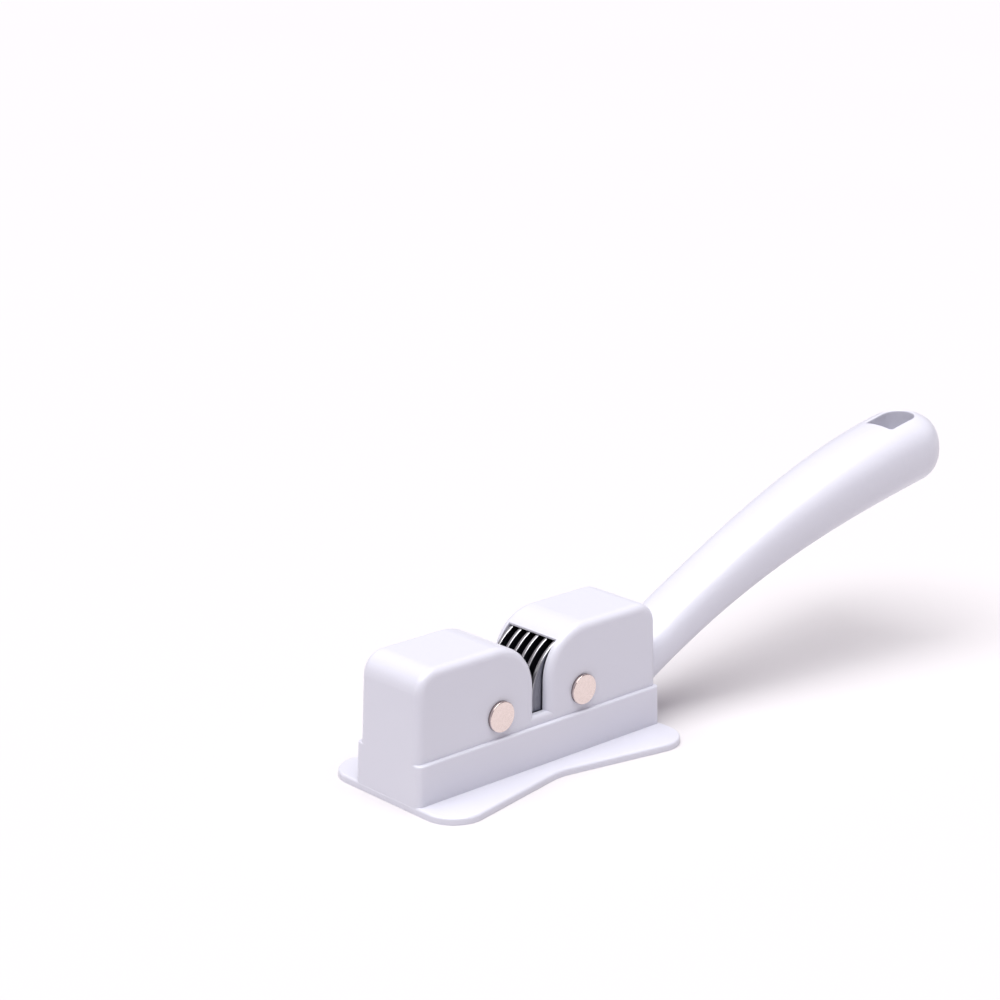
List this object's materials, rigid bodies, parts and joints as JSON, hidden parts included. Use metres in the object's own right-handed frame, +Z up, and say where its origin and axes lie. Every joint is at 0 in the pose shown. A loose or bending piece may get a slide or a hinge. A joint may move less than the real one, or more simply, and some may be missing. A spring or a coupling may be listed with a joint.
{
  "type": "knife sharpener",
  "caption": "Hand-held knife sharpener: slotted hollow head on a waisted base, interleaved grinding discs on riveted axles, and a long raised handle.",
  "frame": {"origin": "centre of the face the base rests on, straight below the middle of the knife slot", "axes": "+Z up from the base, +X towards the handle, -Y the front; both axles run along Y"},
  "size_m": [0.1954, 0.0454, 0.0611],
  "materials": {
    "white_plastic": "moulded, satin with a faint fine texture",
    "rivet_steel": "nickel-plated steel, turned and slightly brushed",
    "disc_steel": "hardened steel, ground on its faces and rim",
    "hub_steel": "drawn steel tube",
    "spacer_plastic": "natural acetal"
  },
  "bodies": {
    "sharpener": {"moulded_body": "white_plastic", "left_rivet_tube": "rivet_steel", "left_rivet_pin": "rivet_steel", "right_rivet_tube": "rivet_steel", "right_rivet_pin": "rivet_steel"},
    "left_roller": {"left_hub": "hub_steel", "left_disc_1": "disc_steel", "left_disc_2": "disc_steel", "left_disc_3": "disc_steel", "left_disc_4": "disc_steel", "left_disc_5": "disc_steel", "left_spacer_1": "spacer_plastic", "left_spacer_2": "spacer_plastic", "left_spacer_3": "spacer_plastic", "left_spacer_4": "spacer_plastic", "left_end_spacer_front": "spacer_plastic", "left_end_spacer_rear": "spacer_plastic"},
    "right_roller": {"right_hub": "hub_steel", "right_disc_1": "disc_steel", "right_disc_2": "disc_steel", "right_disc_3": "disc_steel", "right_disc_4": "disc_steel", "right_disc_5": "disc_steel", "right_disc_6": "disc_steel", "right_spacer_1": "spacer_plastic", "right_spacer_2": "spacer_plastic", "right_spacer_3": "spacer_plastic", "right_spacer_4": "spacer_plastic", "right_spacer_5": "spacer_plastic"}
  },
  "joints": [
    {"name": "left_roller_spin", "type": "hinge", "parent": "sharpener", "child": "left_roller", "pos_m": [-0.0135, 0, 0.0173], "axis": [0, 1, 0], "continuous": true},
    {"name": "right_roller_spin", "type": "hinge", "parent": "sharpener", "child": "right_roller", "pos_m": [0.0135, 0, 0.0173], "axis": [0, 1, 0], "continuous": true}
  ]
}
